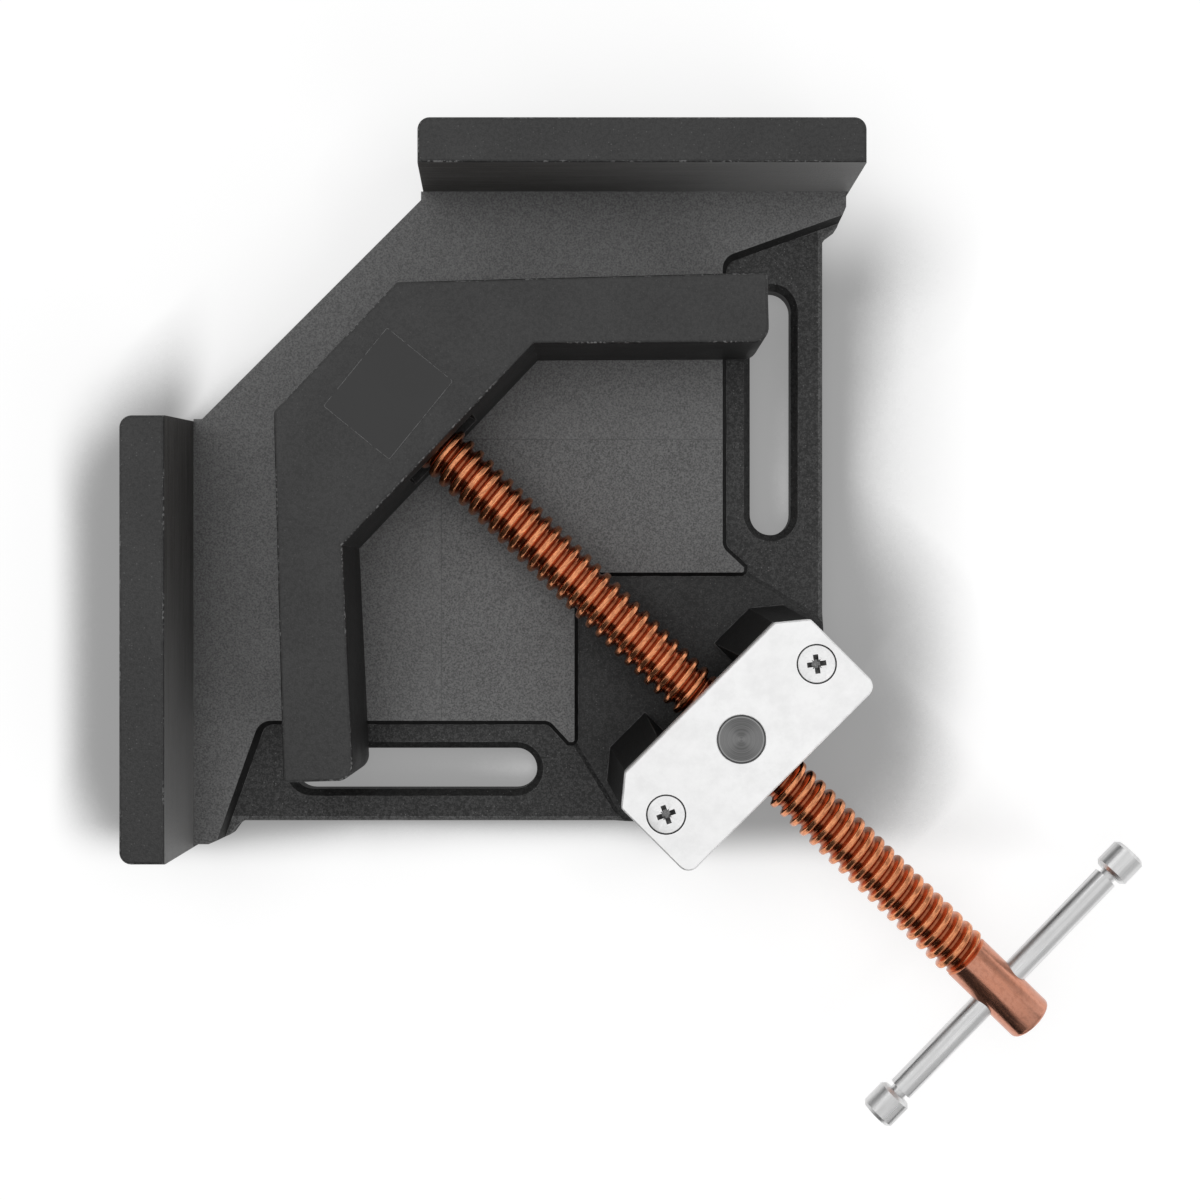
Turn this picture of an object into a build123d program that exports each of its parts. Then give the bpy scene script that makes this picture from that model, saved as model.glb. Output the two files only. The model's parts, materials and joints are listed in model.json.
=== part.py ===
from build123d import *
import os
from math import cos, radians, sin, sqrt, tan

# Corner clamp for 90 degree work. Millimetres, +Z up. The origin is the corner where the planes of
# the two fixed jaw faces meet, on the underside. The work lies in x > 0, y < 0.

# Heights above the underside
flange_top = 8.0
platform_top = 9.0
plateau_top = 12.0
jaw_top = 47.0
spindle_height = 29.0

# Fixed jaws, measured from the corner along each face
jaw_near = 72.0
jaw_far = 200.0
jaw_thick = 13.0
jaw_end_draft = 2.6
jaw_corner_radius = 3.5
cast_edge = 0.9

# Flange with its two mounting slots
flange_edge = 192.5
flange_rounding = 1.6
slot_line = 176.5
slot_start = 27.4
slot_length = 79.2
slot_width = 12.6
slot_rim = 2.0

# Machined plateau, with its notch in front of the bridge
plateau_edge = 161.4
notch_edge = 116.2
tip_reach = 6.5
tip_start = 108.6
tip_end = 1.6
tip_radius = 0.7
flare_radius = 4.0
strip_start = 20.1
strip_end = 6.7
strip_start_radius = 5.0
strip_end_radius = 2.5
plateau_draft = 20.0

# Sloping tongue under each strip's end, down to the flange
tongue_length = 15.0
tongue_spread = 3.9
tongue_corner_near = 2.4
tongue_corner_far = 5.2

# Swivel axis of the nut, the same distance from both fixed jaws
pivot = 164.25
platform_half = 41.8
platform_turn = 7.8
platform_narrowing = 14.4
platform_back = 17.5
platform_draft = 55.0

# Bridge plate over the nut
plate_length = 76.3
plate_width = 33.7
plate_thick = 5.5
plate_chamfer_along = 8.0
plate_chamfer_across = 6.6
plate_radius = 3.5
plate_front_radius = 1.5
plate_edge = 0.4
screw_spread = 30.3

# Posts that carry the bridge plate
post_gap = 15.0
post_lean = 1.6
post_foot = 5.5

# Countersunk screws of the bridge
screw_radius = 3.0
screw_head_radius = 5.4
screw_head_height = 3.0
screw_length = 16.0
screw_hole_radius = 3.3

# Swivel nut
nut_radius = 14.0
trunnion_radius = 7.0
trunnion_depth = 7.0
trunnion_chamfer = 0.5
floor_under_trunnion = 2.0

# Spindle, measured from the swivel axis; positive is towards the moving jaw
thread_radius = 8.0
thread_back = 94.2
thread_end_chamfer = 1.2
head_radius = 7.25
head_length = 26.9
head_chamfer = 1.4
bar_hole_from_end = 13.5
journal_radius = 5.5
journal_depth = 9.0
groove_radius = 4.2
groove_from_axis = 4.0

# Swivel barrel inside the moving jaw and its two pins
barrel_distance = 136.8
barrel_radius = 13.0
barrel_skin = 5.0
pin_radius = 1.5
pin_top_gap = 3.0

# Moving jaw, in its own square frame about the barrel's axis
moving_face = 35.1
moving_arm = 141.8
moving_thick_knee = 18.7
moving_thick_end = 20.1
moving_corner_cut = 36.0
moving_wall = 16.3
moving_end_radius = 4.5
moving_edge_radius = 1.2
moving_lift = 0.3
moving_drop = 0.3

# Tommy bar with a knob on each end
bar_radius = 3.6
bar_total = 108.0
bar_slid = 2.0
neck_radius = 2.4
neck_length = 1.6
knob_radius = 5.25
knob_length = 9.0
knob_chamfer = 1.0

# Clearances
running = 0.05
seated = 0.02
side_gap = 0.3
nut_swing_limit = 12.5
rest_swing = 0.9
rest_jaw_turn = 0.6

os.makedirs("parts", exist_ok=True)

plate_bottom = jaw_top - plate_thick
moving_bottom = plateau_top + moving_lift
moving_top = jaw_top - moving_drop
jaw_foot = jaw_near - jaw_end_draft
strip_reach = jaw_far - cast_edge
diagonal_frame = Location((pivot, -pivot, 0), (0, 0, 135))
rest_frame = Location((pivot, -pivot, 0), (0, 0, 135 + rest_swing))
barrel_frame = rest_frame * Location((barrel_distance, 0, 0))
jaw_frame = barrel_frame * Location((0, 0, 0), (0, 0, rest_jaw_turn))
bar_station = -(thread_back + head_length - bar_hole_from_end)
bar_frame = rest_frame * Location((bar_station, -bar_slid, spindle_height))
diagonal_mirror = Plane(origin=(0, 0, 0), z_dir=(1, 1, 0))


def both_sides(points, middle=()):
    """A chain of points on the right side, any points on the diagonal, and the chain's mirror image."""
    return points + list(middle) + [(-y, -x) for x, y in reversed(points)]


def rounded(face, x, y, radius):
    """The face with its corner at x, y, and the mirror image of that corner, rounded off."""
    places = [Vector(x, y, 0), Vector(-y, -x, 0)]
    corners = face.vertices().filter_by(
        lambda v: min((Vector(v.X, v.Y, 0) - place).length for place in places) < 0.01
    )
    return fillet(corners, radius)


def polygon(points, z=0.0):
    """A flat face through the points at height z."""
    return make_face(Polyline([(x, y, z) for x, y in points], close=True).edges())


def lying_cylinder(radius, start, end, height=0.0):
    """A cylinder along local X from start to end."""
    length = end - start
    return Pos((start + end) / 2, 0, height) * Rot(0, 90, 0) * Cylinder(radius, length)


def upright(radius, bottom, top):
    """A cylinder along local Z from bottom to top."""
    return Pos(0, 0, (bottom + top) / 2) * Cylinder(radius, top - bottom)


def fixed_jaw():
    """The jaw along X, standing on the underside, its near end drafted and its back corners round."""
    side = Polyline(
        (jaw_foot, 0, 0),
        (jaw_far, 0, 0),
        (jaw_far, 0, jaw_top),
        (jaw_near, 0, jaw_top),
        close=True,
    )
    jaw = extrude(make_face(side.edges()), amount=jaw_thick, dir=(0, 1, 0))
    back = jaw.faces().sort_by(Axis.Y)[-1]
    upright_edges = back.edges().filter_by(lambda e: abs(e.tangent_at(0.5).Z) > 0.5)
    jaw = fillet(upright_edges, jaw_corner_radius)
    top = jaw.faces().sort_by(Axis.Z)[-1]
    return fillet(top.edges(), cast_edge)


def near_corner(back):
    """The casting's edge round the near end of the right jaw, as far back as given."""
    return [(jaw_foot, -jaw_end_draft), (jaw_foot, 0), (jaw_near, 0), (jaw_near, back)]


def tongue_edge():
    """The casting's edge under the end of the right strip, from the jaw towards the flange's edge."""
    outer = strip_end + tongue_spread
    return [
        (strip_reach, -(strip_end + strip_end_radius) / 2),
        (strip_reach - tongue_corner_near, -outer + tongue_corner_near / 8),
        (strip_reach - tongue_corner_far, -outer - tongue_corner_far / 3),
    ]


def casting_edge():
    """The right half of the casting's outline, from the open corner to the flange's straight edge."""
    back = jaw_thick - jaw_corner_radius
    flange_start = (flange_edge, -strip_end - 2 * tongue_spread)
    return near_corner(back) + [(strip_reach, back)] + tongue_edge() + [flange_start]


def flange():
    """The lower plate of the casting, rounded along its top edge."""
    cut = 2 * pivot + platform_back * sqrt(2) - flange_edge
    outline = both_sides(casting_edge() + [(flange_edge, -cut)])
    plate = extrude(polygon(outline), amount=flange_top)
    rim = plate.edges().filter_by(
        lambda e: abs(e.center().Z - flange_top) < 0.01
        and (abs(e.center().X - flange_edge) < 0.01 or abs(e.center().Y + flange_edge) < 0.01)
    )
    return fillet(rim, flange_rounding)


def plateau():
    """The machined floor of the clamp, with a strip along each fixed jaw and a notch at the bridge."""
    back = jaw_thick / 2
    tip = plateau_edge + tip_reach
    outline = both_sides(
        near_corner(back)
        + [
            (strip_reach, back),
            (strip_reach, -strip_end),
            (plateau_edge, -strip_start),
            (plateau_edge, -tip_start),
            (tip, -notch_edge + tip_end),
            (tip, -notch_edge),
        ],
        [(notch_edge, -notch_edge)],
    )
    top = polygon(outline)
    top = rounded(top, strip_reach, -strip_end, strip_end_radius)
    top = rounded(top, plateau_edge, -strip_start, strip_start_radius)
    top = rounded(top, plateau_edge, -tip_start, flare_radius)
    top = rounded(top, tip, -notch_edge, tip_radius)
    height = plateau_top - flange_top + flange_rounding / 2
    drafted = extrude(Pos(0, 0, plateau_top) * top, amount=-height, taper=-plateau_draft)
    limits = both_sides(casting_edge(), [(flange_edge, -flange_edge)])
    return drafted & extrude(polygon(limits), amount=plateau_top)


def tongue():
    """The slope from the end of the right strip down to the flange."""
    start = strip_reach - tongue_length
    line = strip_end + (strip_start - strip_end) * tongue_length / (strip_reach - plateau_edge)
    inside = strip_end / 3
    inset = strip_end_radius / 5
    above = [
        (start, -inside),
        (strip_reach, -inside),
        (strip_reach, -strip_end + strip_end_radius),
        (strip_reach - inset, -strip_end + inset),
        (strip_reach - strip_end_radius, -strip_end - inset),
        (start, -line + inset),
    ]
    below = [(start, -inside), (strip_reach, -inside), *tongue_edge(), (start, -line - tongue_spread / 2)]
    return loft([polygon(below, flange_top - flange_rounding / 2), polygon(above, plateau_top)], ruled=True)


def platform():
    """The raised band on the diagonal that carries the nut and the posts, kept inside the flange."""
    front = (pivot - notch_edge) * sqrt(2)
    outline = [
        (-platform_back, -platform_half),
        (platform_turn, -platform_half),
        (front, -platform_half + platform_narrowing),
        (front, platform_half - platform_narrowing),
        (platform_turn, platform_half),
        (-platform_back, platform_half),
    ]
    height = platform_top - flange_top / 2
    band = extrude(polygon(outline, platform_top), amount=-height, taper=-platform_draft)
    behind = -platform_back - platform_half
    trim = Pos(behind, 0, 0) * Box(2 * platform_half, 4 * platform_half, 4 * jaw_top)
    corners = [(0, 0), (flange_edge, 0), (flange_edge, -flange_edge), (0, -flange_edge)]
    return diagonal_frame * (band - trim) & extrude(polygon(corners), jaw_top)


def post():
    """One post, from a spread foot on the platform to a top of the bridge plate's own outline."""
    half_width = plate_width / 2
    half_length = plate_length / 2
    inner = post_gap + post_lean

    def section(z, near, front, back):
        cut_start = (front - plate_chamfer_across, half_length)
        cut_end = (front, half_length - plate_chamfer_along)
        face = polygon([(-back, near), (-back, half_length), cut_start, cut_end, (front, near)], z)
        corner = face.vertices().sort_by_distance((-back, half_length, z))[0]
        return fillet(corner, plate_radius)

    top = section(plate_bottom, inner, half_width, half_width)
    foot = section(platform_top, post_gap, half_width + post_foot, platform_back)
    body = loft([foot, top], ruled=True)
    body = body + extrude(foot, amount=-platform_top)
    hole = upright(screw_radius + running, plate_bottom - screw_length, jaw_top)
    return body - Pos(0, screw_spread, 0) * hole


def slot_cut():
    """One mounting slot along Y, with its sloping rim."""
    middle = slot_start + slot_length / 2
    centre = Location((slot_line, -middle, 0))
    inner = SlotOverall(slot_length - 2 * slot_rim, slot_width, rotation=90)
    through = extrude(inner, amount=2 * flange_top)
    mouth = SlotOverall(slot_length, slot_width + 2 * slot_rim, rotation=90)
    rim = extrude(Pos(0, 0, flange_top) * mouth, amount=-slot_rim, taper=45)
    return centre * (Pos(0, 0, -flange_top / 2) * through + rim)


def base_casting():
    """The whole casting: flange, plateau, fixed jaws, platform and posts in one piece."""
    half_posts = post()
    posts = half_posts + mirror(half_posts, about=Plane.XZ)
    slots = slot_cut()
    jaw = fixed_jaw()
    strip_slope = tongue()
    casting = flange() + platform() + plateau()
    casting = casting + strip_slope + mirror(strip_slope, about=diagonal_mirror)
    casting = casting + jaw + mirror(jaw, about=diagonal_mirror)
    casting = casting - slots - mirror(slots, about=diagonal_mirror)
    casting = casting + diagonal_frame * posts
    bore = diagonal_frame * upright(trunnion_radius + running, floor_under_trunnion, platform_top + 1)
    return casting - bore


def bridge_plate():
    """The steel plate on the posts, with the nut's upper bearing and two countersunk holes."""
    half_width = plate_width / 2
    half_length = plate_length / 2
    outline = [
        (-half_width, -half_length),
        (-half_width, half_length),
        (half_width - plate_chamfer_across, half_length),
        (half_width, half_length - plate_chamfer_along),
        (half_width, -half_length + plate_chamfer_along),
        (half_width - plate_chamfer_across, -half_length),
    ]
    plate = extrude(polygon(outline, plate_bottom), amount=plate_thick)
    uprights = plate.edges().filter_by(Axis.Z).sort_by(Axis.X)
    plate = fillet(uprights[:2], plate_radius)
    front = plate.edges().filter_by(Axis.Z).filter_by(lambda e: e.center().X > 0)
    plate = fillet(front, plate_front_radius)
    plate = chamfer(plate.faces().sort_by(Axis.Z)[-1].edges(), plate_edge)
    plate = plate - upright(trunnion_radius + running, plate_bottom - 1, jaw_top + 1)
    for side in (-screw_spread, screw_spread):
        plate = plate - Pos(0, side, 0) * upright(screw_hole_radius, plate_bottom - 1, jaw_top + 1)
        plate = plate - Pos(0, side, 0) * countersink(running + seated)
    return diagonal_frame * plate


def countersink(extra):
    """The cone of the screw head, grown by extra all round, up to the plate's top."""
    height = screw_head_height + extra
    cone = Cone(screw_radius + extra, screw_head_radius + extra, height)
    return Pos(0, 0, jaw_top - height / 2) * cone


def bridge_screws():
    """Both screws, heads flush with the plate."""
    shank = upright(screw_radius, plate_bottom - screw_length + 2, jaw_top - screw_head_height)
    head = Pos(0, 0, jaw_top - screw_head_height / 2) * Cone(
        screw_radius, screw_head_radius, screw_head_height
    )
    screw = shank + head
    pair = [Pos(0, side, 0) * screw for side in (-screw_spread, screw_spread)]
    return Compound([diagonal_frame * piece for piece in pair])


def swivel_nut():
    """The round nut with a trunnion above and below, bored across for the spindle."""
    body_bottom = platform_top + side_gap
    body_top = plate_bottom - side_gap
    nut = upright(nut_radius, body_bottom, body_top)
    nut = chamfer(nut.edges(), trunnion_chamfer)
    nut = nut + upright(trunnion_radius, body_bottom - trunnion_depth, jaw_top - side_gap / 2)
    nut = nut - lying_cylinder(thread_radius + running, -2 * nut_radius, 2 * nut_radius, spindle_height)
    return rest_frame * nut


def spindle():
    """The screw: crest cylinder, smooth head with a cross hole, and the grooved journal in front."""
    shoulder = barrel_distance - barrel_radius - side_gap
    journal_end = barrel_distance + journal_depth - side_gap / 2
    head_end = -(thread_back + head_length)
    groove = barrel_distance + groove_from_axis
    groove_half = pin_radius + side_gap / 2
    profile = Polyline(
        (head_end, 0, 0),
        (head_end, 0, head_radius - head_chamfer),
        (head_end + head_chamfer, 0, head_radius),
        (-thread_back, 0, head_radius),
        (-thread_back + thread_end_chamfer, 0, thread_radius),
        (shoulder - thread_end_chamfer, 0, thread_radius),
        (shoulder, 0, thread_radius - thread_end_chamfer),
        (shoulder, 0, journal_radius),
        (groove - groove_half, 0, journal_radius),
        (groove - groove_half, 0, groove_radius),
        (groove + groove_half, 0, groove_radius),
        (groove + groove_half, 0, journal_radius),
        (journal_end, 0, journal_radius),
        (journal_end, 0, 0),
        close=True,
    )
    screw = revolve(make_face(profile.edges()), Axis.X)
    hole = Pos(bar_station, 0, 0) * Rot(90, 0, 0) * Cylinder(bar_radius + running, 4 * head_radius)
    return rest_frame * (Pos(0, 0, spindle_height) * (screw - hole))


def swivel_barrel():
    """The upright barrel in the moving jaw, with a blind hole for the journal and two pin holes."""
    bottom = moving_bottom + side_gap
    top = moving_top - barrel_skin - side_gap
    barrel = upright(barrel_radius, bottom, top)
    bore = lying_cylinder(journal_radius + running, -2 * barrel_radius, journal_depth, spindle_height)
    barrel = barrel - bore
    for place in pin_places():
        barrel = barrel - place * upright(pin_radius + seated, bottom - 1, top - pin_top_gap)
    return barrel_frame * barrel


def pin_places():
    """Where the two pins stand about the barrel's axis, one each side of the journal's groove."""
    across = groove_radius + pin_radius + running
    return [Pos(groove_from_axis, side * across, 0) for side in (-1, 1)]


def barrel_pins():
    """The two pins that hold the journal in the barrel."""
    bottom = moving_bottom + side_gap
    top = moving_top - barrel_skin - side_gap
    pin = upright(pin_radius, bottom, top - pin_top_gap - side_gap)
    return Compound([barrel_frame * (place * pin) for place in pin_places()])


def moving_jaw():
    """The V jaw: two arms, a cut-off corner, a thick diagonal, the barrel's bore and a window."""
    face = moving_face
    end = moving_arm - face
    inner_end = face - moving_thick_end
    inner_knee = face - moving_thick_knee
    half = [
        (end, face),
        (end, inner_end),
        (moving_wall * sqrt(2) + inner_knee, inner_knee),
    ]
    outline = [(-face + moving_corner_cut, face)] + half + [(-y, -x) for x, y in reversed(half)]
    outline.append((-face, face - moving_corner_cut))
    body = extrude(polygon(outline, moving_bottom), amount=moving_top - moving_bottom)
    uprights = body.edges().filter_by(Axis.Z)
    inner_ends = uprights.filter_by(
        lambda e: abs(e.center().X - end) < 0.01 and abs(e.center().Y - inner_end) < 0.01
        or abs(e.center().X + inner_end) < 0.01 and abs(e.center().Y + end) < 0.01
    )
    body = fillet(inner_ends, moving_end_radius)
    outer_ends = body.edges().filter_by(Axis.Z).filter_by(
        lambda e: abs(e.center().Y - face) < 0.01 or abs(e.center().X + face) < 0.01
    )
    body = fillet(outer_ends, moving_edge_radius)
    body = fillet(body.faces().sort_by(Axis.Z)[-1].edges(), cast_edge)
    body = Rot(0, 0, -135) * body
    body = body - upright(barrel_radius + running, moving_bottom - 1, moving_top - barrel_skin)
    swing = radians(nut_swing_limit + rest_swing + rest_jaw_turn + 1)
    reach = moving_wall + 1
    clear = thread_radius + 2 * side_gap
    opening = Pos(0, 0, spindle_height) * extrude(
        polygon(
            [
                (0, -clear),
                (0, clear),
                (-reach, clear / cos(swing) + reach * tan(swing)),
                (-reach, -clear / cos(swing) - reach * tan(swing)),
            ],
            -clear,
        ),
        amount=2 * clear,
    )
    return jaw_frame * (body - opening)


def tommy_bar():
    """The sliding bar, its ends turned down for the knobs."""
    shoulder = bar_total / 2 - knob_length - neck_length
    rod = Rot(90, 0, 0) * Cylinder(bar_radius, 2 * shoulder)
    spigot = Rot(90, 0, 0) * Cylinder(neck_radius, bar_total - knob_length)
    return bar_frame * (rod + spigot)


def knob(side):
    """A knob pressed on the bar's end at local +Y or -Y."""
    inner = bar_total / 2 - knob_length
    body = upright(knob_radius, inner, bar_total / 2)
    body = chamfer(body.edges(), knob_chamfer)
    body = body - upright(neck_radius + seated, inner - 1, inner + knob_length / 2 + side_gap / 2)
    return bar_frame * (Rot(-90 * side, 0, 0) * body)


pieces = {
    "base_casting": base_casting(),
    "bridge_plate": bridge_plate(),
    "bridge_screws": bridge_screws(),
    "swivel_nut": swivel_nut(),
    "spindle": spindle(),
    "swivel_barrel": swivel_barrel(),
    "barrel_pins": barrel_pins(),
    "moving_jaw": moving_jaw(),
    "tommy_bar": tommy_bar(),
    "bar_knob_left": knob(1),
    "bar_knob_right": knob(-1),
}
for name, piece in pieces.items():
    export_step(piece, f"parts/{name}.step")
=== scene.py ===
"""The looks of the corner clamp: coated castings, copper screw, bright bar, and a plain studio."""
import json
import logging
import math
from dataclasses import dataclass
from enum import Enum

import bmesh
import bpy
from bpy.types import Material, Node, NodeTree, Object
from bpy.types import NodeOutputs as Sockets
from bpy.types import NodeSocket as Socket
from mathutils import Matrix, Vector


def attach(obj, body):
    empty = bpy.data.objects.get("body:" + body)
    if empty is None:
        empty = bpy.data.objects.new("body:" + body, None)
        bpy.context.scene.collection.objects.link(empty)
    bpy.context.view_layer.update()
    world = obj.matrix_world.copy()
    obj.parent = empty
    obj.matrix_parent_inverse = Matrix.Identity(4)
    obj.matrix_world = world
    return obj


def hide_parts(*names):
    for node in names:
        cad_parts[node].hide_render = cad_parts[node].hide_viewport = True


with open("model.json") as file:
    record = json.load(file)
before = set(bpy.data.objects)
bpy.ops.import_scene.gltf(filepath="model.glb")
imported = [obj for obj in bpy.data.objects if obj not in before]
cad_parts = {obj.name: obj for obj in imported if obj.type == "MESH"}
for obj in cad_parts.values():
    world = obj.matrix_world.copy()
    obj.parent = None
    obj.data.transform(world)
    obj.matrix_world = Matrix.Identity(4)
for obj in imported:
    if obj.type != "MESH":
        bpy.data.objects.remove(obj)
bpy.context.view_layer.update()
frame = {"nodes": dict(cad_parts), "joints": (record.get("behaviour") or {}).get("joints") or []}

LOG = logging.getLogger("corner_clamp")
Colour = tuple[float, float, float, float]
Place = tuple[float, float, float]
Span = tuple[float, float]
Mixed = tuple[Socket, Socket, Socket]


class Body(Enum):
    """The bodies that built pieces move with."""

    BASE = "base"
    JAW = "jaw"
    SPINDLE = "spindle"


class Effect(Enum):
    """The shader effects that several finishes share."""

    EDGE_WEAR = "Edge wear"
    CAST_GRAIN = "Cast grain"
    DRAWN_LINES = "Drawn lines"
    TURNED_RINGS = "Turned rings"
    BAND = "Band"


def grey(level: float, warmth: float = 0.0) -> Colour:
    """Returns a grey of a linear level, with some red added and as much blue taken away."""
    return (level * (1.0 + warmth), level, level * (1.0 - warmth), 1.0)


class Graph:
    """Adds and links nodes in one node tree."""

    def __init__(self, tree: NodeTree) -> None:
        """Keeps the tree of a material, a world or a node group to work in."""
        self.tree = tree

    def add(self, kind: str, settings: dict | None = None, inputs: dict | None = None) -> Node:
        """Adds a node.

        Args:
            kind: The node's type name without the ShaderNode prefix.
            settings: Properties to set on the node.
            inputs: Values or sockets, by input name or number.

        Returns:
            The new node.
        """
        node = self.tree.nodes.new("ShaderNode" + kind)
        for name, value in (settings or {}).items():
            setattr(node, name, value)
        for key, value in (inputs or {}).items():
            self.feed(node.inputs[key], value)
        return node

    def feed(self, socket: Socket, value: object) -> None:
        """Links a socket into an input, or sets a plain value on it.

        Args:
            socket: The input.
            value: A socket or a plain value.
        """
        if isinstance(value, Socket):
            self.tree.links.new(value, socket)
        else:
            socket.default_value = value

    def math(self, operation: str, first: object, second: object = 0.0, clamp: bool = False) -> Socket:
        """Works out one operation on two values or sockets, kept between 0 and 1 if clamped."""
        node = self.add("Math", {"operation": operation, "use_clamp": clamp}, {0: first, 1: second})
        return node.outputs[0]

    def times(self, first: object, second: object) -> Socket:
        """Returns the product of two values or sockets."""
        return self.math("MULTIPLY", first, second)

    def vector(self, operation: str, first: object, second: object = (0.0, 0.0, 0.0)) -> Socket:
        """Works out one operation on two vectors, or on one."""
        node = self.add("VectorMath", {"operation": operation}, {0: first, 1: second})
        return node.outputs["Value" if operation in ("DOT_PRODUCT", "LENGTH") else "Vector"]

    def split(self, vector: Socket) -> Sockets:
        """Returns a vector's X, Y and Z."""
        return self.add("SeparateXYZ", None, {0: vector}).outputs

    def here(self) -> Socket:
        """Returns the place in the object's own frame."""
        return self.add("TexCoord").outputs["Object"]

    def geometry(self, name: str) -> Socket:
        """Returns a property of the surface, such as its normal or its place in the room."""
        return self.add("NewGeometry").outputs[name]

    def noise(self, place: Socket, scale: object, detail: float, roughness: float = 0.5) -> Socket:
        """Adds noise of a scale and detail."""
        values = {"Vector": place, "Scale": scale, "Detail": detail, "Roughness": roughness}
        return self.add("TexNoise", None, values).outputs[0]

    def mix(self, factor: object, first: object, second: object) -> Socket:
        """Mixes as much of the second colour into the first as the factor says."""
        node = self.add("Mix", {"data_type": "RGBA"}, {0: factor, 6: first, 7: second})
        return node.outputs[2]

    def span(
        self, value: object, low: float, high: float, to_low: float = 0.0, to_high: float = 1.0
    ) -> Socket:
        """Maps a value from one span to another, clamped and eased.

        Args:
            value: The value or socket.
            low: Where the span starts.
            high: Where the span ends.
            to_low: The result at low.
            to_high: The result at high.

        Returns:
            The result's socket.
        """
        settings = {"interpolation_type": "SMOOTHSTEP"}
        inputs = {0: value, 1: low, 2: high, 3: to_low, 4: to_high}
        return self.add("MapRange", settings, inputs).outputs[0]


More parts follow.
